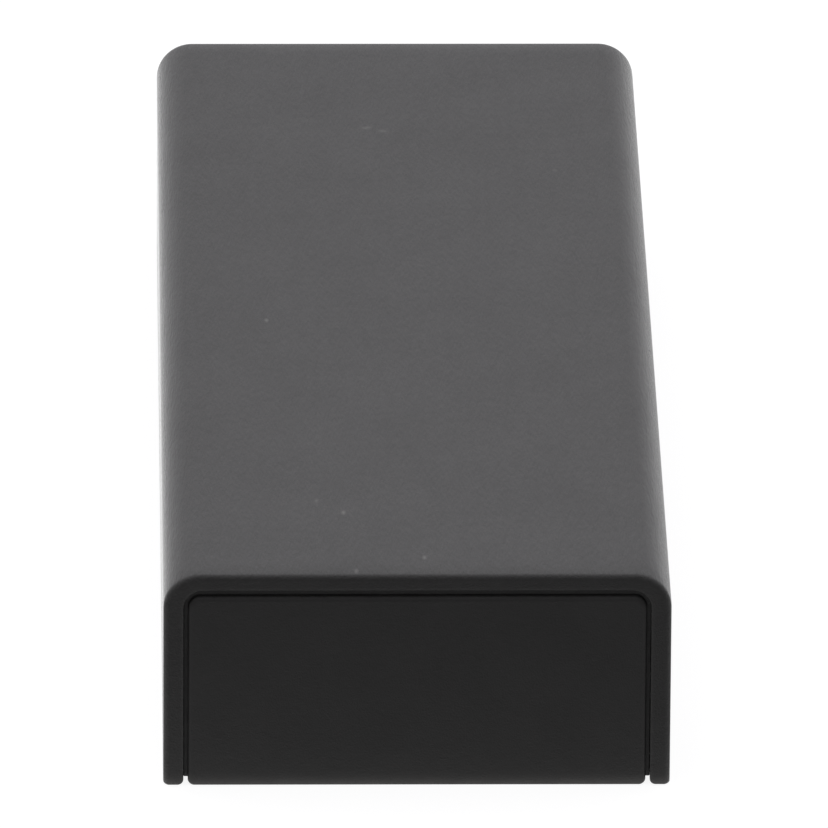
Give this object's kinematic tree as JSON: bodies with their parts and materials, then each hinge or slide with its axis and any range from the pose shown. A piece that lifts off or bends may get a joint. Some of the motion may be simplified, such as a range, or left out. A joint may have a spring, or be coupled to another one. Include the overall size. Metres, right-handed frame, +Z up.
{
  "type": "streaming media player",
  "caption": "Slim bar-shaped streaming player: a sleeve-like cover snapped over a tray, with a display plug at one end and a power socket in one long side.",
  "frame": {"origin": "centre of the housing's bottom face, where it lies on the table; the plug is not counted", "axes": "+Y along the housing towards the plug, +X towards the side with the power socket, +Z up out of the top face"},
  "size_m": [0.03, 0.097, 0.0135],
  "materials": {
    "cover_plastic": "fine spark-eroded matt, moulded",
    "tray_plastic": "fine spark-eroded matt, moulded",
    "board_laminate": "solder mask over glass laminate",
    "plug_steel": "nickel-plated folded sheet",
    "socket_steel": "nickel-plated drawn sheet",
    "insert_plastic": "moulded, as from the tool",
    "contact_metal": "gold-flashed spring strip",
    "gasket_foam": "fine closed-cell foam",
    "chip_resin": "moulded resin",
    "can_metal": "tinned sheet",
    "inductor_ferrite": "pressed ferrite",
    "capacitor_ceramic": "fired ceramic",
    "thermal_gel": "soft filled silicone",
    "spreader_aluminium": "rolled sheet, as cut",
    "antenna_metal": "stamped and tinned strip"
  },
  "bodies": {
    "root": {"top_cover": "cover_plastic", "bottom_tray": "tray_plastic", "main_board": "board_laminate", "plug_shell": "plug_steel", "plug_insulator": "insert_plastic", "plug_contacts": "contact_metal", "plug_gasket": "gasket_foam", "power_socket_shell": "socket_steel", "power_socket_tongue": "insert_plastic", "power_socket_contacts": "contact_metal", "processor_chip": "chip_resin", "memory_chip": "chip_resin", "flash_chip": "chip_resin", "radio_chip": "chip_resin", "power_chip": "chip_resin", "clock_crystals": "can_metal", "power_inductors": "inductor_ferrite", "chip_capacitors": "capacitor_ceramic", "surge_arrays": "chip_resin", "upper_shield_frame": "can_metal", "upper_shield_lid": "can_metal", "lower_shield_frame": "can_metal", "lower_shield_lid": "can_metal", "radio_shield": "can_metal", "processor_pad": "thermal_gel", "flash_pad": "thermal_gel", "upper_spreader_pad": "thermal_gel", "lower_spreader_pad": "thermal_gel", "upper_heat_spreader": "spreader_aluminium", "lower_heat_spreader": "spreader_aluminium", "ground_foam": "gasket_foam", "antenna_left": "antenna_metal", "antenna_right": "antenna_metal"}
  },
  "joints": []
}
